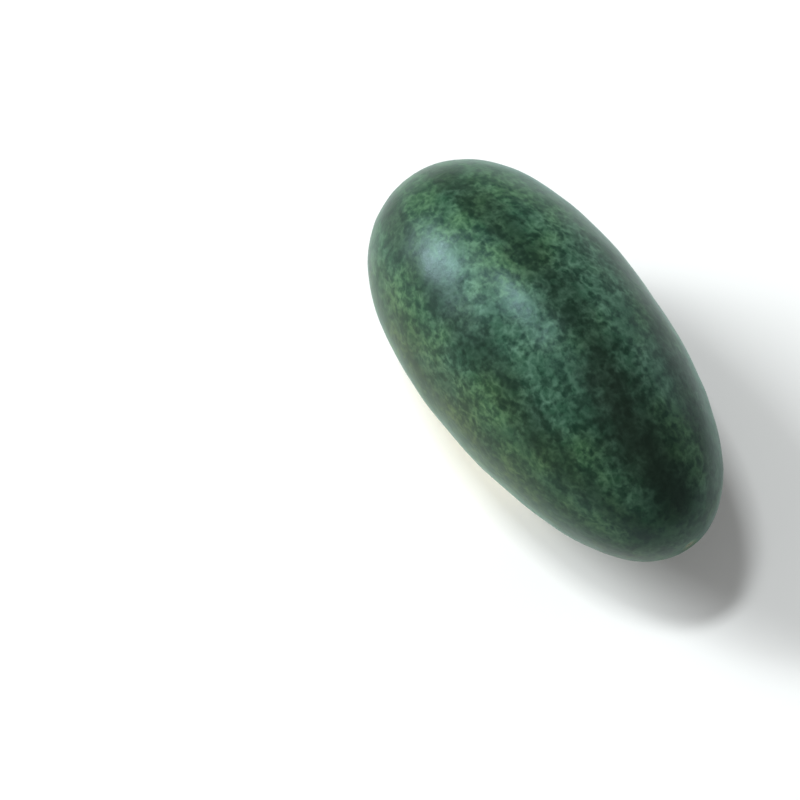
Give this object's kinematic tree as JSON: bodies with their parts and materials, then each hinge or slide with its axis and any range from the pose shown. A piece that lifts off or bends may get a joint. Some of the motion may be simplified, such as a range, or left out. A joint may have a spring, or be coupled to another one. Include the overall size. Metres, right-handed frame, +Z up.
{
  "type": "watermelon",
  "caption": "Whole oblong watermelon with dark green mottled rind, lying on its side, with a short dried stem stub at its blunt end.",
  "frame": {"origin": "on the ground, under the middle of the bounding box of the fruit and its stem stub", "axes": "+Z up; +X along the fruit's long axis, from the blunt stem end to the narrower blossom end"},
  "size_m": [0.3294, 0.164, 0.162],
  "materials": {
    "rind": "satin",
    "dried_stem": "matte"
  },
  "bodies": {
    "root": {"fruit": "rind", "stem_stub": "dried_stem"}
  },
  "joints": []
}
